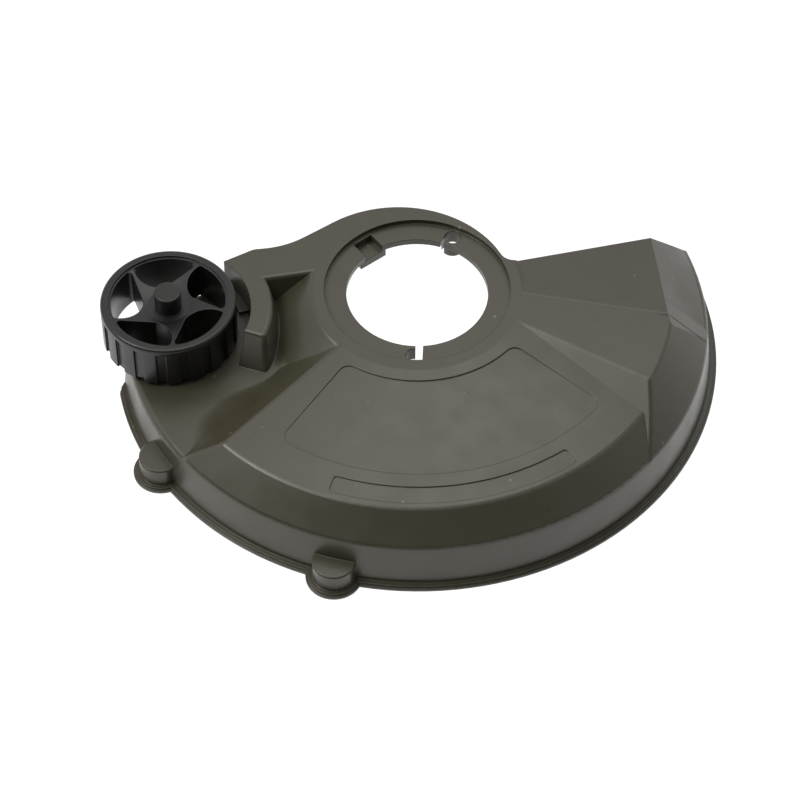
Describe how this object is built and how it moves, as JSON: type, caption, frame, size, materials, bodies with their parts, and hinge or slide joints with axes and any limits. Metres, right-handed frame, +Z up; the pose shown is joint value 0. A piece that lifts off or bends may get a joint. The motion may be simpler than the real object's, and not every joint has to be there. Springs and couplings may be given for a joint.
{
  "type": "trimmer guard",
  "caption": "String trimmer guard: moulded plastic shell with a seat ring for the trimmer head, a deep skirt with a flanged rim, a raised open end and a free-turning edging wheel.",
  "frame": {"origin": "centre of the head bore, in the plane of the seat face", "axes": "+Z up along the axis of the trimmer head, away from the cutting line; -X towards the edging wheel's axle; -Y towards the middle of the covered side"},
  "size_m": [0.3498, 0.2357, 0.0658],
  "materials": {
    "shell_plastic": "fine moulded texture with a satin sheen, dark olive grey",
    "wheel_plastic": "satin, near black",
    "axle_plastic": "satin, dark grey",
    "fastener_steel": "zinc plated"
  },
  "bodies": {
    "guard": {"guard_shell": "shell_plastic", "wheel_axle": "axle_plastic", "axle_washer": "fastener_steel", "axle_screw": "fastener_steel"},
    "wheel": {"edging_wheel": "wheel_plastic"}
  },
  "joints": [
    {"name": "wheel_spin", "type": "hinge", "parent": "guard", "child": "wheel", "pos_m": [-0.1398, 0, 0], "axis": [0, 0, 1], "continuous": true}
  ]
}
